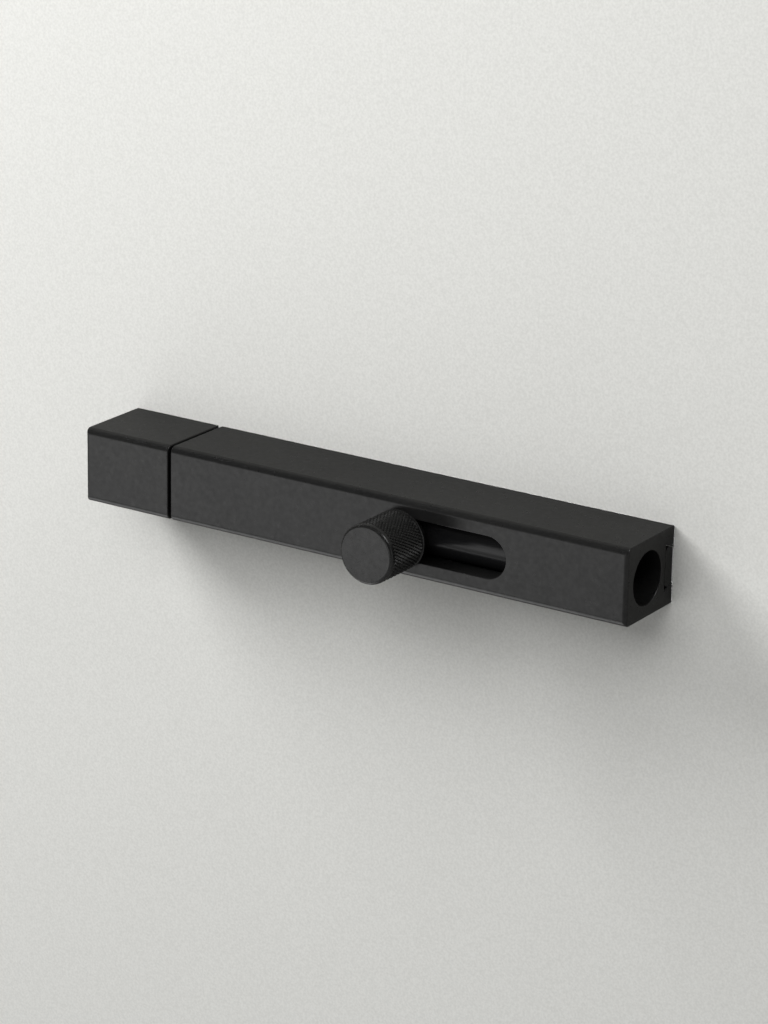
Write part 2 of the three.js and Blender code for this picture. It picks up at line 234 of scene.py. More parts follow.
def carve(piece, *cutters):
    """Cuts the cutters out of a piece and deletes them."""
    for cutter in cutters:
        cut = piece.modifiers.new("cut", "BOOLEAN")
        cut.operation = "DIFFERENCE"
        cut.solver = "EXACT"
        cut.object = cutter
    apply_modifiers(piece)
    for cutter in cutters:
        bpy.data.objects.remove(cutter)


def shade(piece, sharp_degrees=35):
    """Smooth shading that keeps flat faces flat and real edges sharp."""
    piece.data.shade_smooth()
    piece.data.set_sharp_from_angle(angle=math.radians(sharp_degrees))
    weighted = piece.modifiers.new("weighted", "WEIGHTED_NORMAL")
    weighted.keep_sharp = True
    apply_modifiers(piece)


def place(piece, node, body, slot, material):
    """The piece stands for a CAD node, moves with a body, and takes a material."""
    piece.data.materials.clear()
    piece.data.materials.append(material)
    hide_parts(node)
    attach(piece, body)


# ---- Materials ----


class Shader:
    """A material whose nodes end in one Principled BSDF."""

    def __init__(self, name, **sockets):
        self.material = bpy.data.materials.new(name)
        self.material.use_nodes = True
        self.nodes = self.material.node_tree.nodes
        self.links = self.material.node_tree.links
        self.bsdf = self.nodes["Principled BSDF"]
        for socket, value in sockets.items():
            self.bsdf.inputs[socket.replace("_", " ")].default_value = value
        self.places = self.nodes.new("ShaderNodeTexCoord").outputs["Object"]

    def link(self, output, node, socket):
        self.links.new(output, node.inputs[socket])

    def noise(self, size, detail=2, stretch=(1, 1, 1)):
        """Noise whose grains are `size` metres across, drawn out along the axes by `stretch`."""
        scaled = self.nodes.new("ShaderNodeMapping")
        scaled.inputs["Scale"].default_value = [1 / (size * s) for s in stretch]
        self.link(self.places, scaled, "Vector")
        noise = self.nodes.new("ShaderNodeTexNoise")
        noise.inputs["Scale"].default_value = 1
        noise.inputs["Detail"].default_value = detail
        self.link(scaled.outputs["Vector"], noise, "Vector")
        return noise.outputs["Fac"]

    def ranged(self, value, low, high, start=0.3, end=0.7):
        """Maps start..end to low..high, clamped. Most of a noise lies between the usual start and end."""
        node = self.nodes.new("ShaderNodeMapRange")
        for socket, number in (("From Min", start), ("From Max", end), ("To Min", low), ("To Max", high)):
            node.inputs[socket].default_value = number
        self.link(value, node, "Value")
        return node.outputs["Result"]

    def blend(self, factor, first, second):
        """A colour between two, each a tuple or an output. The Mix node's colours are inputs 6 and 7."""
        node = self.nodes.new("ShaderNodeMix")
        node.data_type = "RGBA"
        self.link(factor, node, "Factor")
        for socket, colour in ((6, first), (7, second)):
            if isinstance(colour, tuple):
                node.inputs[socket].default_value = (*colour, 1)
            else:
                self.links.new(colour, node.inputs[socket])
        return node.outputs[2]

    def math(self, operation, first, second):
        """Arithmetic on two values, each a number or an output, clamped to 0..1."""
        node = self.nodes.new("ShaderNodeMath")
        node.operation = operation
        node.use_clamp = True
        for i, value in enumerate((first, second)):
            if isinstance(value, (int, float)):
                node.inputs[i].default_value = value
            else:
                self.links.new(value, node.inputs[i])
        return node.outputs["Value"]

    def bump(self, height, distance, strength, under=None):
        """Normals of a relief `distance` metres high, on top of the normals `under`."""
        node = self.nodes.new("ShaderNodeBump")
        node.inputs["Distance"].default_value = distance
        node.inputs["Strength"].default_value = strength
        self.link(height, node, "Height")
        if under is not None:
            self.link(under, node, "Normal")
        return node.outputs["Normal"]

    def edges(self, radius):
        """1 on edges and corners within `radius`, 0 on flat faces."""
        rounded = self.nodes.new("ShaderNodeBevel")
        rounded.samples = 4
        rounded.inputs["Radius"].default_value = radius
        true = self.nodes.new("ShaderNodeNewGeometry")
        dot = self.nodes.new("ShaderNodeVectorMath")
        dot.operation = "DOT_PRODUCT"
        self.links.new(rounded.outputs["Normal"], dot.inputs[0])
        self.links.new(true.outputs["Normal"], dot.inputs[1])
        edge, flat = 0.90, 0.995
        return self.ranged(dot.outputs["Value"], 1, 0, edge, flat)

    def set(self, socket, output):
        self.link(output, self.bsdf, socket)


def anodised(name, dark, light, rough):
    """Black anodised aluminium: a fine blasted grain, faint clouding, and edges that wear has polished."""
    wear_width = 0.3 * MM
    wear_share = (0.1, 0.8)
    wear_paler = 2.6
    wear_smoother = 0.12
    sheen = (0.41, 0.52)
    shader = Shader(name, Metallic=0.0, IOR=1.6)
    clouds = shader.ranged(shader.noise(22 * MM, 3), 0, 1)
    mottle = shader.noise(1.3 * MM, 4)
    patchy = shader.ranged(shader.noise(2.5 * MM, 4), *wear_share)
    worn = shader.math("MULTIPLY", shader.edges(wear_width), patchy)
    body = shader.blend(clouds, dark, light)
    polished = tuple(channel * wear_paler for channel in light)
    shader.set("Base Color", shader.blend(worn, body, polished))
    satin = shader.ranged(mottle, *rough)
    patina = shader.noise(1.5 * MM, 5)
    shader.set("Specular IOR Level", shader.ranged(patina, *sheen))
    shader.set("Roughness", shader.math("SUBTRACT", satin, shader.math("MULTIPLY", worn, wear_smoother)))
    grain = shader.bump(shader.noise(0.3 * MM, 2), 0.012 * MM, 0.4)
    shader.set("Normal", shader.bump(mottle, 0.03 * MM, 0.3, grain))
    return shader.material


def drawn_steel(name, dark, light, metallic, rough):
    """Steel bar with fine lines along X from drawing, and soft patches in its finish."""
    shader = Shader(name, Metallic=metallic)
    lines = shader.noise(0.12 * MM, 3, (60, 1, 1))
    patches = shader.noise(5 * MM, 4, (2.5, 1, 1))
    shader.set("Base Color", shader.blend(shader.ranged(patches, 0, 1), dark, light))
    shader.set("Roughness", shader.ranged(patches, *rough))
    shader.set("Normal", shader.bump(lines, 0.01 * MM, 0.35))
    return shader.material


def plated_steel(name, dark, light, rough):
    """Bright plated steel with slight cloudiness and fine tool marks."""
    shader = Shader(name, Metallic=1.0)
    clouds = shader.noise(2.2 * MM, 4)
    marks = shader.noise(0.1 * MM, 2)
    shader.set("Base Color", shader.blend(shader.ranged(clouds, 0, 1), dark, light))
    shader.set("Roughness", shader.ranged(clouds, *rough))
    shader.set("Normal", shader.bump(marks, 0.006 * MM, 0.4))
    return shader.material


def acetal(name):
    """Moulded black acetal, with a waxy, slightly uneven surface."""
    shader = Shader(name, Metallic=0.0, IOR=1.48)
    dark = (0.010, 0.010, 0.010)
    light = (0.020, 0.020, 0.020)
    flow = shader.noise(3 * MM, 3)
    grain = shader.noise(0.2 * MM, 2)
    shader.set("Base Color", shader.blend(shader.ranged(flow, 0, 1), dark, light))
    shader.set("Roughness", shader.ranged(grain, 0.40, 0.56))
    shader.set("Normal", shader.bump(grain, 0.01 * MM, 0.5))
    return shader.material


BLACK = anodised("black_anodised", (0.0062, 0.0062, 0.0063), (0.0090, 0.0089, 0.0087), (0.27, 0.34))
KNURLED = anodised("black_knurled", (0.0060, 0.0060, 0.0061), (0.0085, 0.0084, 0.0082), (0.22, 0.29))
BLACKENED = drawn_steel("blackened_steel", (0.006, 0.006, 0.0065), (0.010, 0.010, 0.0105), 0.0, (0.19, 0.27))
ZINC = plated_steel("zinc_steel", (0.50, 0.51, 0.53), (0.66, 0.67, 0.68), (0.22, 0.36))
POLISHED = plated_steel("spring_steel", (0.55, 0.55, 0.56), (0.70, 0.70, 0.71), (0.12, 0.2))
ACETAL = acetal("black_acetal")


# ---- The two lengths of bar ----


def bar_outline():
    """The bar's section as (y, z) points, with the dovetail channel in its back."""
    mouth = CHANNEL_MOUTH / 2
    floor = CHANNEL_FLOOR / 2
    top = HALF_HEIGHT
    half = [
        (0, mouth, 0.4 * MM),
        (0, top, BACK_RADIUS),
        (FRONT_Y, top, FRONT_RADIUS),
    ]
    channel_floor = [(-CHANNEL_DEPTH, -floor, 0), (-CHANNEL_DEPTH, floor, 0)]
    lower = [(y, -z, radius) for y, z, radius in reversed(half)]
    return filleted(channel_floor + half + lower, steps=10, closed=True)


def inward_normals(outline):
    """For each point of an outline, the vector that insets both its edges by 1."""
    normals = []
    count = len(outline)
    for i, here in enumerate(outline):
        before = (here - outline[i - 1]).normalized()
        after = (outline[(i + 1) % count] - here).normalized()
        first = Vector((-before.y, before.x))
        second = Vector((-after.y, after.x))
        normals.append((first + second) / (1 + first.dot(second)))
    area = sum(a.x * b.y - b.x * a.y for a, b in zip(outline, outline[1:] + outline[:1]))
    return normals if area > 0 else [-normal for normal in normals]


def bar(name, x0, x1, outer):
    """A bar from x0 to x1 with rounded end edges. The outer end's front edge is rounder."""
    outline = bar_outline()
    insets = inward_normals(outline)

    def end_loops(x, inwards, is_outer):
        front = FRONT_END_BREAK if is_outer else END_BREAK
        loops = []
        for inset_share, along_share in arc():
            loop = []
            for point, inset in zip(outline, insets):
                facing = max(0, inset.normalized().x) ** 4
                width = END_BREAK + (front - END_BREAK) * facing
                section = point + inset * width * inset_share
                loop.append((x + inwards * width * along_share, section.x, section.y))
            loops.append(loop)
        return loops

    first_end = end_loops(x0, 1, outer == x0)
    last_end = end_loops(x1, -1, outer == x1)
    return lofted(name, first_end + list(reversed(last_end)))


def lip(radius, x, out):
    """Profile points that round a bore's edge at a bar's end, from outside to inside."""
    rounded = [(radius + LIP_BREAK * inset, x - out * LIP_BREAK * along) for inset, along in arc()]
    return [(radius + LIP_BREAK, x + out * OVERRUN)] + rounded


def bore_cutter(radius, x0, x1, through):
    """A cutter for a round bore that opens at x1, and at x0 too if it goes through."""
    start = lip(radius, x0, -1) if through else [(radius, x0)]
    profile = start + list(reversed(lip(radius, x1, 1)))
    profile = [(0, profile[0][1])] + profile + [(0, profile[-1][1])]
    return turned("bore_cutter", profile, (0, BORE_Y, 0))


def stadium(offset):
    """The slot's outline as (x, z) points, grown by offset."""
    points = []
    steps = 40
    for centre, start in ((STEM_X + TRAVEL, -math.pi / 2), (STEM_X, math.pi / 2)):
        for k in range(steps + 1):
            angle = start + math.pi * k / steps
            radius = SLOT_RADIUS + offset
            points.append((centre + radius * math.cos(angle), radius * math.sin(angle)))
    return points


def slot_cutter():
    """A cutter for the slot, from the front to the middle of the bore, with a rounded lip."""
    sections = [(LIP_BREAK, FRONT_Y - OVERRUN)]
    sections += [(LIP_BREAK * inset, FRONT_Y + LIP_BREAK * along) for inset, along in arc()]
    sections.append((0, BORE_Y))
    return lofted("slot_cutter", [[(x, y, z) for x, z in stadium(offset)] for offset, y in sections])


def ball_mesh(name, centre, radius):
    """A ball turned about its own Y axis, with one vertex at each pole."""
    angles = [2 * math.pi * k / SMALL_ROUND for k in range(SMALL_ROUND // 2 + 1)]
    profile = [(radius * math.sin(angle), -radius * math.cos(angle)) for angle in angles]
    profile[0] = (0, -radius)
    profile[-1] = (0, radius)
    return turned(name, profile, centre, "Y", SMALL_ROUND)


def screw_hole(node):
    """A cutter for the hole that a set screw goes up, from below the bar into its channel."""
    low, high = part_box(node)
    radius = (high[0] - low[0]) / 2 + GAP / 2
    countersink = 0.25 * MM
    depth = 7 * MM
    profile = [
        (0, -OVERRUN),
        (radius + countersink + OVERRUN, -OVERRUN),
        (radius, countersink),
        (radius, depth),
        (0, depth),
    ]
    foot = ((low[0] + high[0]) / 2, (low[1] + high[1]) / 2, -HALF_HEIGHT)
    return turned("screw_hole", profile, foot, "Z", SMALL_ROUND)


def make_housing():
    """The long bar, open at both ends, with a dimple for the detent ball at each end of the travel."""
    piece = bar("housing_bar", HOUSING_LO[0], HOUSING_HI[0], HOUSING_HI[0])
    click = JOINTS["detent_click"]["range_m"][1]
    radius = BALL_RADIUS + GAP
    dimples = [ball_mesh("dimple", (BALL.x + shift, BALL.y + click, 0), radius) for shift in (0, TRAVEL)]
    carve(
        piece,
        bore_cutter(BORE_RADIUS, HOUSING_LO[0], HOUSING_HI[0], True),
        slot_cutter(),
        *dimples,
        screw_hole("housing_lock_screw_1"),
        screw_hole("housing_lock_screw_2"),
    )
    shade(piece)
    place(piece, "housing_body", BODY_FIXED, "black_anodised", BLACK)


def make_keeper():
    """The short bar. Its bore opens towards the housing only."""
    piece = bar("keeper_bar", KEEPER_LO[0], KEEPER_HI[0], KEEPER_LO[0])
    carve(
        piece,
        bore_cutter(KEEPER_BORE_RADIUS, KEEPER_LO[0] + KEEPER_END_WALL, KEEPER_HI[0], False),
        screw_hole("keeper_lock_screw"),
    )
    shade(piece)
    place(piece, "keeper_body", BODY_FIXED, "black_anodised", BLACK)


# ---- The knob ----

KNURL_STARTS = 54
KNURL_ANGLE = math.radians(30)
KNURL_DEPTH = 0.44 * MM
KNURL_FLAT = 0.16
KNURL_BACK = 0.9 * MM
KNURL_FRONT = 1.5 * MM
KNURL_MARGIN = 0.16 * MM
SMOOTH_INSET = 0.04 * MM
LIP_RADIUS = 1.0 * MM


def make_knob():
    """The knob, with a diamond knurl of real pyramids with small flat tops, between two smooth ends."""
    length = KNOB_HI[1] - KNOB_LO[1]
    columns = 2 * KNURL_STARTS
    pitch = 2 * math.pi * KNOB_RADIUS / KNURL_STARTS / math.tan(KNURL_ANGLE)
    band = length - KNURL_BACK - KNURL_FRONT
    rows = 2 * round(band / pitch)
    low = KNOB_RADIUS - KNURL_DEPTH
    stud_hole = STUD_RADIUS + GAP
    hole_depth = KNOB_HI[1] - STUD_LO[1] + GAP

    def round_axis(column, out, radius):
        angle = 2 * math.pi * column / columns
        return (STEM_X + radius * math.sin(angle), KNOB_HI[1] - out, radius * math.cos(angle))

    def point(column, row, radius):
        return round_axis(column, KNURL_BACK + band * row / rows, radius)

    def ring(bm, radius, out):
        if radius <= 0:
            return [bm.verts.new((STEM_X, KNOB_HI[1] - out, 0))]
        return [bm.verts.new(round_axis(column, out, radius)) for column in range(columns)]

    def diamond(bm, corners, column, row):
        """One pyramid over the four groove crossings round (column, row)."""
        around = [(column - 1, row), (column, row - 1), (column + 1, row), (column, row + 1)]
        tops = []
        for side_column, side_row in around:
            tops.append(bm.verts.new(point(
                column + (side_column - column) * KNURL_FLAT,
                row + (side_row - row) * KNURL_FLAT,
                KNOB_RADIUS,
            )))
        feet = [corners[side_column % columns, side_row] for side_column, side_row in around]
        bm.faces.new(tops)
        for i in range(4):
            j = (i + 1) % 4
            bm.faces.new([feet[i], feet[j], tops[j], tops[i]])

    def build(bm):
        corners = {}
        for row in range(rows + 1):
            for column in range(columns):
                if (row + column) % 2 == 0 or row in (0, rows):
                    corners[column, row] = bm.verts.new(point(column, row, low))
        for row in range(1, rows):
            for column in range(columns):
                if (row + column) % 2:
                    diamond(bm, corners, column, row)
        for row, inner in ((0, 1), (rows, rows - 1)):
            for column in range(columns):
                if (row + column) % 2:
                    left = corners[(column - 1) % columns, row]
                    right = corners[(column + 1) % columns, row]
                    middle = corners[column, row]
                    tip = corners[column, inner]
                    bm.faces.new([left, middle, tip])
                    bm.faces.new([middle, right, tip])
        front = [corners[column, rows] for column in range(columns)]
        back = [corners[column, 0] for column in range(columns)]
        side = KNOB_RADIUS - SMOOTH_INSET
        front_profile = [(side, KNURL_BACK + band + KNURL_MARGIN)]
        for inset, along in arc(2 * ARC_STEPS):
            front_profile.append((side - LIP_RADIUS * along, length - LIP_RADIUS * inset))
        front_profile.append((0, length))
        back_profile = filleted([
            (side, KNURL_BACK - KNURL_MARGIN, 0),
            (side, 0, 0.45 * MM),
            (stud_hole, 0, 0.2 * MM),
            (stud_hole, hole_depth, 0),
            (0, hole_depth, 0),
        ])
        for start, profile in ((front, front_profile), (back, [tuple(p) for p in back_profile])):
            previous = start
            for radius, out in profile:
                following = ring(bm, radius, out)
                join_loops(bm, previous, following)
                previous = following

    piece = object_of("knob_knurled", build)
    shade(piece, sharp_degrees=24)
    place(piece, "knob", BODY_MOVING, "black_knurled", KNURLED)


# ---- Round pieces on the bolt ----

RING_FLOOR = 6.05 * MM


def make_rod():
    """The rod: a coned nose, two grooves for the glide rings, and holes for the stud and the detent."""
    nose = 1.6 * MM
    edge = 0.5 * MM
    groove_edge = 0.15 * MM
    groove_half = 1.4 * MM
    corners = [
        (0, ROD_LO[0], 0),
        (ROD_RADIUS - nose, ROD_LO[0], edge),
        (ROD_RADIUS, ROD_LO[0] + nose, edge),
    ]
    for node in ("rod_glide_ring_1", "rod_glide_ring_2"):
        low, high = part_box(node)
        x = (low[0] + high[0]) / 2
        corners += [
            (ROD_RADIUS, x - groove_half, groove_edge),
            (RING_FLOOR, x - groove_half, 0),
            (RING_FLOOR, x + groove_half, 0),
            (ROD_RADIUS, x + groove_half, groove_edge),
        ]
    corners += [(ROD_RADIUS, ROD_HI[0], edge), (0, ROD_HI[0], 0)]
    profile = [tuple(p) for p in filleted(corners)]
    piece = turned("bolt_rod_ground", profile, (0, BORE_Y, 0), "X", 160)

    def hole(name, x, radius, start, end):
        outline = [(0, start), (radius, start), (radius, end), (0, end)]
        return turned(name, outline, (x, 0, 0), "Y", SMALL_ROUND)

    carve(
        piece,
        hole("stud_hole", STEM_X, STUD_RADIUS + GAP, ROD_LO[1] - OVERRUN, STUD_HI[1] + GAP),
        hole("pocket", BALL.x, BALL_RADIUS + GAP, SPRING_LO[1] - GAP, ROD_HI[1] + OVERRUN),
    )
    shade(piece)
    place(piece, "bolt_rod", BODY_MOVING, "blackened_steel", BLACKENED)


def make_glide_rings():
    """Split rings: a slanted cut lets each one spring over the rod."""
    for number in (1, 2):
        low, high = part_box(f"rod_glide_ring_{number}")
        x = (low[0] + high[0]) / 2
        half = (high[0] - low[0]) / 2
        outer = (high[2] - low[2]) / 2
        inner = RING_FLOOR + GAP
        inner_edge = 0.15 * MM
        outer_edge = 0.3 * MM
        corners = [
            (inner, -half, inner_edge),
            (outer, -half, outer_edge),
            (outer, half, outer_edge),
            (inner, half, inner_edge),
        ]
        outline = [tuple(p) for p in filleted(corners, closed=True)]
        piece = turned(f"glide_ring_split_{number}", outline + outline[:1], (x, BORE_Y, 0), "X", 96)
        reach = 2 * half
        saw = 0.4 * MM / 2
        loops = []
        for z in (inner - OVERRUN, outer + OVERRUN):
            loops.append([
                (x - reach, BORE_Y - reach - saw, z),
                (x - reach, BORE_Y - reach + saw, z),
                (x + reach, BORE_Y + reach + saw, z),
                (x + reach, BORE_Y + reach - saw, z),
            ])
        carve(piece, lofted("split", loops))
        shade(piece)
        place(piece, f"rod_glide_ring_{number}", BODY_MOVING, "black_acetal", ACETAL)


def make_bush():
    """The bush round the stud: a flange under the knob, and a barrel in the slot."""
    hole = STUD_RADIUS + GAP
    flange = (BUSH_HI[0] - BUSH_LO[0]) / 2
    barrel = SLOT_RADIUS - GAP
    flange_end = BUSH_LO[1] + 0.6 * MM
    edge = 0.1 * MM
    corners = [
        (hole, BUSH_LO[1], edge),
        (flange, BUSH_LO[1], 2 * edge),
        (flange, flange_end, edge),
        (barrel, flange_end, edge),
        (barrel, BUSH_HI[1], 0.25 * MM),
        (hole, BUSH_HI[1], edge),
    ]
    outline = [tuple(p) for p in filleted(corners, closed=True)]
    piece = turned("slot_bush_moulded", outline + outline[:1], (STEM_X, 0, 0), "Y", 96)
    shade(piece)
    place(piece, "slot_bush", BODY_MOVING, "black_acetal", ACETAL)


def make_liner():
    """The sleeve in the keeper, with a flared mouth that guides the rod in."""
    inner = ROD_RADIUS + GAP
    outer = (LINER_HI[2] - LINER_LO[2]) / 2
    x0, x1 = LINER_LO[0], LINER_HI[0]
    flare, flare_length = 0.4 * MM, 0.8 * MM
    corners = [
        (inner, x0, 0.1 * MM),
        (outer, x0, 0.25 * MM),
        (outer, x1, 0.1 * MM),
        (inner + flare, x1, 0.06 * MM),
        (inner, x1 - flare_length, 0.3 * MM),
    ]
    outline = [tuple(p) for p in filleted(corners, closed=True)]
    piece = turned("keeper_liner_moulded", outline + outline[:1], (0, BORE_Y, 0))
    shade(piece)
    place(piece, "keeper_liner", BODY_FIXED, "black_acetal", ACETAL)


def make_ball():
    """The detent's ball."""
    ball = ball_mesh("detent_ball_polished", BALL, BALL_RADIUS)
    shade(ball)
    place(ball, "detent_ball", BODY_BALL, "spring_steel", POLISHED)


def make_spring():
    """The detent's spring: round wire wound on a helix about the ball's Y axis."""
    wire = 0.2 * MM
    coil = (SPRING_HI[0] - SPRING_LO[0]) / 2 - wire
    turns = 4
    steps = 28 * turns
    sides = 10
    rise = SPRING_HI[1] - SPRING_LO[1] - 2 * wire
    turn = [2 * math.pi * i / sides for i in range(sides)]
    loops = []
    for k in range(steps + 1):
        angle = 2 * math.pi * turns * k / steps
        out = Vector((math.cos(angle), 0, math.sin(angle)))
        centre = Vector((BALL.x, SPRING_LO[1] + wire + rise * k / steps, 0)) + out * coil
        loops.append([centre + out * wire * math.cos(a) + Vector((0, wire * math.sin(a), 0)) for a in turn])
    spring = lofted("detent_spring_wound", loops)
    shade(spring, sharp_degrees=60)
    place(spring, "detent_spring", BODY_MOVING, "spring_steel", POLISHED)


# ---- Threaded pieces ----


def between(low, value, high):
    """The value, held between low and high."""
    return min(max(value, low), high)


def threaded(name, centre, core, crest, pitch, start, end):
    """A helical thread from start to end on a shaft along +Y from centre.

    core(y) and crest(y) are radii, equal where the thread fades out, and y counts from centre. The mesh's
    rows follow the helix, so that the crest is one clean line.
    """
    middle = Vector(centre)
    columns = 24
    shape = (0, 0, 0.5, 1, 0.5, 0)
    per_turn = len(shape)
    rows = math.ceil((end - start) / pitch * per_turn) + 2 * per_turn

    def build(bm):
        grid = {}
        for row in range(rows + 1):
            for column in range(columns):
                helix = start + pitch * ((row - per_turn) / per_turn + column / columns)
                y = between(start, helix, end)
                low, high = core(y), crest(y)
                radius = low + (high - low) * shape[row % per_turn]
                angle = 2 * math.pi * column / columns
                outwards = Vector((math.sin(angle), 0, math.cos(angle)))
                grid[row, column] = bm.verts.new(middle + Vector((0, y, 0)) + outwards * radius)
        for row in range(rows):
            for column in range(columns):
                ahead = (column + 1) % columns
                shift = per_turn if ahead == 0 else 0
                if row + 1 + shift > rows:
                    continue
                bm.faces.new([
                    grid[row, column],
                    grid[row + shift, ahead],
                    grid[row + 1 + shift, ahead],
                    grid[row + 1, column],
                ])
        bmesh.ops.remove_doubles(bm, verts=bm.verts, dist=1e-7)
        bmesh.ops.delete(bm, geom=[v for v in bm.verts if not v.link_faces], context="VERTS")
        bmesh.ops.holes_fill(bm, edges=[e for e in bm.edges if e.is_boundary], sides=0)

    return object_of(name, build)


WOOD_THREAD_RADIUS = 1.6 * MM
WOOD_THREAD_PITCH = 1.7 * MM
WOOD_THREAD_START = 6.5 * MM
WOOD_SHANK_RADIUS = 1.55 * MM
WOOD_CORE_RADIUS = 1.05 * MM
WOOD_POINT = 4.5 * MM
WOOD_TIP_RADIUS = 0.12 * MM


def cross_recess(x, face):
    """Two crossing cutters for a screw's head whose face is at y = face. They narrow with depth."""
    span, width, depth = 1.5 * MM, 0.4 * MM, 1.6 * MM
    outside, floor = (face - OVERRUN, 1.1), (face + depth, 0.75)
    signs = ((-1, -1), (1, -1), (1, 1), (-1, 1))
    bars = []
    for half_x, half_z in ((span, width), (width, span)):
        loops = []
        for y, share in (outside, floor):
            loops.append([(x + sx * half_x * share, y, sz * half_z * share) for sx, sz in signs])
        bars.append(lofted("recess", loops))
    return bars


def make_wood_screw(node):
    """A countersunk wood screw with a cross recess. Its head's face is towards -Y."""
    low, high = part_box(node)
    x = (low[0] + high[0]) / 2
    head = (high[0] - low[0]) / 2
    length = high[1] - low[1]
    rim = 0.25 * MM
    neck = rim + head - WOOD_SHANK_RADIUS
    shank_taper, thread_rise, thread_end = 1.2 * MM, 2 * MM, 1.5 * MM
    thread_at_point = 0.5 * MM

    def core_radius(y):
        left = length - y
        base = WOOD_CORE_RADIUS
        if left <= WOOD_POINT:
            base = WOOD_TIP_RADIUS + (WOOD_CORE_RADIUS - WOOD_TIP_RADIUS) * left / WOOD_POINT
        fade = between(0, (WOOD_THREAD_START + shank_taper - y) / shank_taper, 1)
        return base + (WOOD_SHANK_RADIUS - base) * fade

    def crest_radius(y):
        left = length - y
        fade_in = between(0, (y - WOOD_THREAD_START) / thread_rise, 1)
        fade_out = between(0, left / thread_end, 1)
        base = core_radius(y)
        wanted = WOOD_THREAD_RADIUS if left > WOOD_POINT else base + thread_at_point * fade_out
        return base + max(0, wanted - base) * fade_in * fade_out

    foot = (x, low[1], 0)
    reach = (WOOD_THREAD_START, length)
    thread = threaded(f"{node}_thread", foot, core_radius, crest_radius, WOOD_THREAD_PITCH, *reach)
    profile = filleted([
        (0, 0, 0),
        (head, 0, 0.05 * MM),
        (head, rim, 0),
        (WOOD_SHANK_RADIUS, neck, 0.5 * MM),
        (WOOD_SHANK_RADIUS, WOOD_THREAD_START, 0),
        (0, WOOD_THREAD_START, 0),
    ])
    piece = turned(f"{node}_head", [tuple(p) for p in profile], foot, "Y", SMALL_ROUND)
    carve(piece, *cross_recess(x, low[1]))
    joined = join(piece, thread, f"{node}_threaded")
    shade(joined, sharp_degrees=40)
    place(joined, node, BODY_FIXED, "zinc_steel", ZINC)


def join(first, second, name):
    """One object from two that meet."""
    union = first.modifiers.new("union", "BOOLEAN")
    union.operation = "UNION"
    union.solver = "EXACT"
    union.object = second
    apply_modifiers(first)
    bpy.data.objects.remove(second)
    first.name = name
    return first


def make_stud():
    """The threaded stud between knob and rod. Its thread fades out at both ends."""
    thread_depth = 0.4 * MM
    pitch = 1 * MM
    fade = 1.2 * MM
    core = STUD_RADIUS - thread_depth

    def core_radius(y):
        return core

    def crest_radius(y):
        from_end = min(y - STUD_LO[1], STUD_HI[1] - y)
        return core + (STUD_RADIUS - core) * between(0, from_end / fade, 1)

    foot = (STEM_X, 0, 0)
    piece = threaded("knob_stud_threaded", foot, core_radius, crest_radius, pitch, STUD_LO[1], STUD_HI[1])
    shade(piece, sharp_degrees=40)
    place(piece, "knob_stud", BODY_MOVING, "zinc_steel", ZINC)


def make_set_screw(node):
    """A set screw along Z, with a hexagon socket in its lower end that opens out at the mouth."""
    low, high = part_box(node)
    x, y = (low[0] + high[0]) / 2, (low[1] + high[1]) / 2
    radius = (high[0] - low[0]) / 2
    length = high[2] - low[2]
    corners = [(0, 0, 0), (radius, 0, 0.25 * MM), (radius, length, 0.5 * MM), (0, length, 0)]
    profile = [tuple(p) for p in filleted(corners)]
    piece = turned(f"{node}_socket", profile, (x, y, low[2]), "Z", SMALL_ROUND)
    socket = 0.87 * MM
    mouth = 0.15 * MM
    depth = 1.5 * MM
    sections = [
        (-OVERRUN, socket + 0.9 * MM),
        (mouth, socket),
        (depth, socket),
        (depth + 0.3 * MM, 0.1 * MM),
    ]
    hexagon = [2 * math.pi * k / 6 for k in range(6)]
    loops = []
    for z, r in sections:
        loops.append([(x + r * math.cos(a), y + r * math.sin(a), low[2] + z) for a in hexagon])
    carve(piece, lofted("socket", loops))
    shade(piece)
    place(piece, node, BODY_FIXED, "blackened_steel", BLACKENED)


# ---- The rails ----


def screw_room(screw, start):
    """A cutter for a wood screw's countersunk hole, from y = start to past the rail's back."""
    low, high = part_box(screw)
    head = (high[0] - low[0]) / 2 + GAP / 2
    shank = 1.9 * MM
    rim_end = low[1] + 0.25 * MM
    profile = [
        (0, start),
        (head, start),
        (head, rim_end),
        (shank, rim_end + head - shank),
        (shank, OVERRUN),
        (0, OVERRUN),
    ]
    return turned("screw_room", profile, ((low[0] + high[0]) / 2, 0, 0), "Y", 64)


def make_rail(node, screws):
    """A dovetail rail with countersunk holes and a shallow groove along its back."""
    low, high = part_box(node)
    depth = high[1] - low[1]
    taper = (CHANNEL_FLOOR - CHANNEL_MOUTH) / 2 / CHANNEL_DEPTH
    narrow = CHANNEL_MOUTH / 2 - 0.12 * MM
    groove = 0.35 * MM
    edge = 0.12 * MM
    upper = [
        (0, groove, 0),
        (0, narrow, 0.15 * MM),
        (-depth + RAIL_BEVEL, narrow + taper * (depth - RAIL_BEVEL), edge),
        (-depth, narrow + taper * depth - RAIL_BEVEL, edge),
    ]
    lower = [(y, -z, radius) for y, z, radius in reversed(upper)]
    outline = filleted(upper + lower + [(-groove, 0, 0)], steps=4, closed=True)
    piece = lofted(f"{node}_extruded", [[(x, p.x, p.y) for p in outline] for x in (low[0], high[0])])
    carve(piece, *[screw_room(screw, low[1] - OVERRUN) for screw in screws])
    shade(piece)
    place(piece, node, BODY_FIXED, "black_anodised", BLACK)


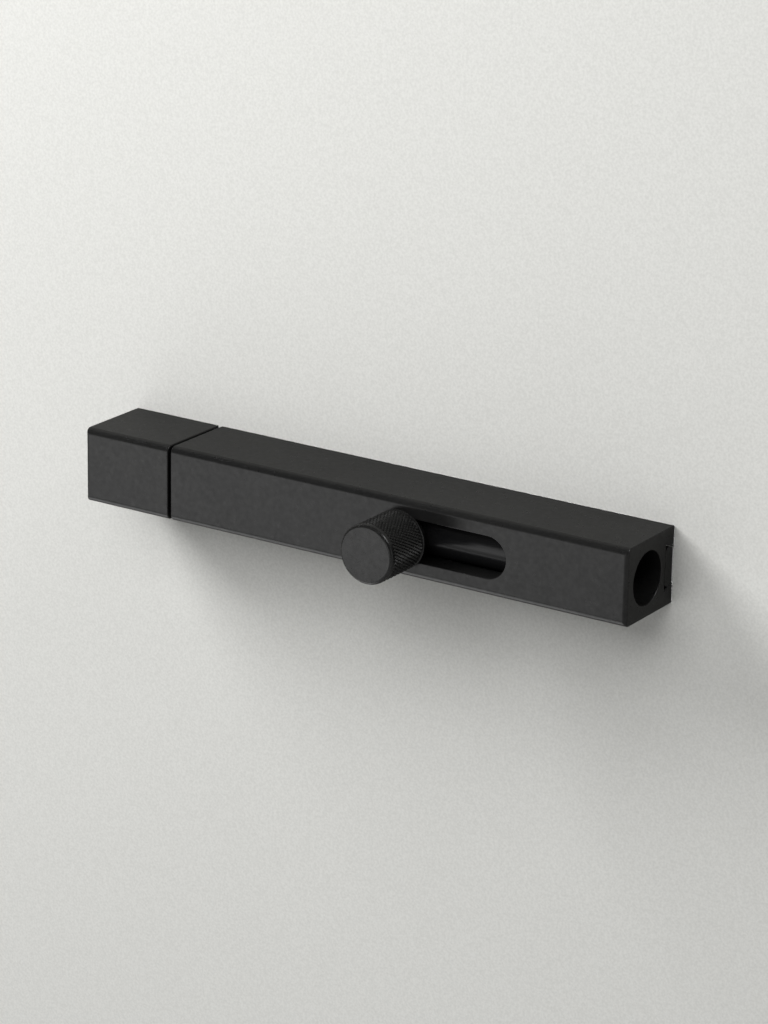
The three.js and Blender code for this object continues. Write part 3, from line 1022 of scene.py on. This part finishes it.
def make_bolt():
    """Every piece of the bolt and of what holds it."""
    housing_screws = [f"housing_rail_screw_{i}" for i in (1, 2, 3, 4)]
    keeper_screws = [f"keeper_rail_screw_{i}" for i in (1, 2)]
    make_housing()
    make_keeper()
    make_knob()
    make_rod()
    make_glide_rings()
    make_bush()
    make_liner()
    make_ball()
    make_spring()
    for screw in housing_screws + keeper_screws:
        make_wood_screw(screw)
    make_stud()
    for screw in ("housing_lock_screw_1", "housing_lock_screw_2", "keeper_lock_screw"):
        make_set_screw(screw)
    make_rail("housing_rail", housing_screws)
    make_rail("keeper_rail", keeper_screws)


# ---- Stage, light and camera ----


def make_stage():
    """The door's pale face, painted darker where the bolt reflects it: a painted shade in the bolt's
    reflections. From behind it is clear, so that the rails can be seen.

    It is also clear to a ray that has come no further than `touching`. Such a ray left the bars' own backs,
    which the lamps behind the door light.
    """
    behind = 0.2 * MM
    touching = 0.8 * MM
    half_width, half_height = 1.6, 1.4
    # The door's colour as glossy rays see it: darker than the door really is, a painted dimmer reflection on
    # the bolt.
    painted_dim_reflection = (0.19, 0.19, 0.18)

    def build(bm):
        corners = [
            (-half_width, -half_height),
            (half_width, -half_height),
            (half_width, half_height),
            (-half_width, half_height),
        ]
        bm.faces.new([bm.verts.new((x, behind, z)) for x, z in corners])

    sheet = object_of("pale_backdrop", build)
    if sheet.data.polygons[0].normal.y > 0:
        sheet.data.flip_normals()
    shader = Shader("pale_backdrop", Roughness=0.6)
    speckle = shader.ranged(shader.noise(0.7 * MM, 2), 0, 1)
    pale = shader.blend(speckle, (0.60, 0.60, 0.575), (0.68, 0.68, 0.655))
    clear = shader.nodes.new("ShaderNodeBsdfTransparent")
    mixed = shader.nodes.new("ShaderNodeMixShader")
    geometry = shader.nodes.new("ShaderNodeNewGeometry")
    ray = shader.nodes.new("ShaderNodeLightPath")
    # Painted shade: glossy rays see the door darker than camera and diffuse rays do, so the bolt's
    # reflections of the door are painted dimmer.
    shader.set("Base Color", shader.blend(ray.outputs["Is Glossy Ray"], pale, painted_dim_reflection))
    near = shader.math("LESS_THAN", ray.outputs["Ray Length"], touching)
    see_through = shader.math("MAXIMUM", geometry.outputs["Backfacing"], near)
    shader.link(see_through, mixed, "Fac")
    shader.links.new(shader.bsdf.outputs["BSDF"], mixed.inputs[1])
    shader.links.new(clear.outputs["BSDF"], mixed.inputs[2])
    output = shader.nodes["Material Output"]
    shader.link(mixed.outputs["Shader"], output, "Surface")
    sheet.data.materials.append(shader.material)


# Each lamp's place, width and height in metres, and power in watts. All of them face the bolt's middle.
DOOR_LAMPS = {
    "key": ((0.05, -1.0, 0.75), (0.9, 0.7), 8),
    "side": ((-0.75, -0.36, 0.72), (0.5, 0.5), 16),
}
CARDS = {
    "left_card": ((-0.80, -1.0, -0.26), (0.8, 0.6), 1.25),
    "front_card": ((0, -1.5, -0.1), (0.7, 0.5), 0.7),
    "right_card": ((1.3, -0.3, 0.15), (0.5, 0.6), 0.4),
    "top_card": ((0.70, -0.22, 0.95), (0.5, 0.4), 3),
    "floor_card": ((-0.55, -0.35, -0.88), (0.7, 0.6), 1.6),
    "back": ((-0.3, 1.1, -0.15), (0.8, 0.8), 16),
    "back_card": ((0.8, 0.8, -0.3), (0.8, 0.7), 3.5),
}


def area_light(name, spot, size, power):
    """A rectangular lamp that faces the bolt's middle."""
    data = bpy.data.lights.new(name, "AREA")
    data.shape = "RECTANGLE"
    data.size, data.size_y = size
    data.energy = power
    lamp = bpy.data.objects.new(name, data)
    lamp.location = spot
    lamp.rotation_mode = "QUATERNION"
    target = (cad_box[0] + cad_box[1]) / 2
    lamp.rotation_quaternion = (target - Vector(spot)).to_track_quat("-Z", "Y")
    bpy.context.scene.collection.objects.link(lamp)
    return lamp


def make_lights():
    """Two soft lamps light the door, and the bolt doesn't mirror them. It mirrors the cards."""
    for name, (spot, size, power) in DOOR_LAMPS.items():
        area_light(name, spot, size, power).visible_glossy = False
    for name, (spot, size, power) in CARDS.items():
        area_light(name, spot, size, power)


def make_world():
    """A plain pale room to the camera. All else sees it dark above and pale below, like a floor."""
    world = bpy.data.worlds.new("studio")
    bpy.context.scene.world = world
    world.use_nodes = True
    nodes, links = world.node_tree.nodes, world.node_tree.links
    seen = nodes["Background"]
    seen.inputs["Color"].default_value = (0.62, 0.62, 0.61, 1)
    direction = nodes.new("ShaderNodeTexCoord")
    split = nodes.new("ShaderNodeSeparateXYZ")
    links.new(direction.outputs["Generated"], split.inputs["Vector"])
    below, above = (-0.35, 0.30), (0.05, 0.06)
    fade = nodes.new("ShaderNodeMapRange")
    fade.inputs["From Min"].default_value, fade.inputs["To Min"].default_value = below
    fade.inputs["From Max"].default_value, fade.inputs["To Max"].default_value = above
    links.new(split.outputs["Z"], fade.inputs["Value"])
    room = nodes.new("ShaderNodeBackground")
    links.new(fade.outputs["Result"], room.inputs["Strength"])
    room.inputs["Color"].default_value = (1, 1, 0.98, 1)
    ray = nodes.new("ShaderNodeLightPath")
    mixed = nodes.new("ShaderNodeMixShader")
    links.new(ray.outputs["Is Camera Ray"], mixed.inputs["Fac"])
    links.new(room.outputs["Background"], mixed.inputs[1])
    links.new(seen.outputs["Background"], mixed.inputs[2])
    links.new(mixed.outputs["Shader"], nodes["World Output"].inputs["Surface"])


CAMERA_AZIMUTH = math.radians(33.04)
CAMERA_ELEVATION = math.radians(18.7)
CAMERA_ROLL = math.radians(1.04)
CAMERA_DISTANCE = 1.027
CAMERA_LENS = 131.0
CAMERA_AIM = Vector((-10.6, -11.9, 0.9)) * MM


def make_camera():
    """Looks at the bolt from the right and a little above, with a long lens."""
    back = Vector((
        math.sin(CAMERA_AZIMUTH) * math.cos(CAMERA_ELEVATION),
        -math.cos(CAMERA_AZIMUTH) * math.cos(CAMERA_ELEVATION),
        math.sin(CAMERA_ELEVATION),
    ))
    data = bpy.data.cameras.new("camera")
    data.sensor_width = 36
    data.lens = CAMERA_LENS
    camera = bpy.data.objects.new("camera", data)
    upright = (-back).to_track_quat("-Z", "Y").to_matrix()
    camera.matrix_world = (
        Matrix.Translation(CAMERA_AIM + back * CAMERA_DISTANCE)
        @ (upright @ Matrix.Rotation(CAMERA_ROLL, 3, "Z")).to_4x4()
    )
    bpy.context.scene.collection.objects.link(camera)
    bpy.context.scene.camera = camera


make_bolt()
make_stage()
make_lights()
make_world()
make_camera()
bpy.context.scene.view_settings.view_transform = "Standard"
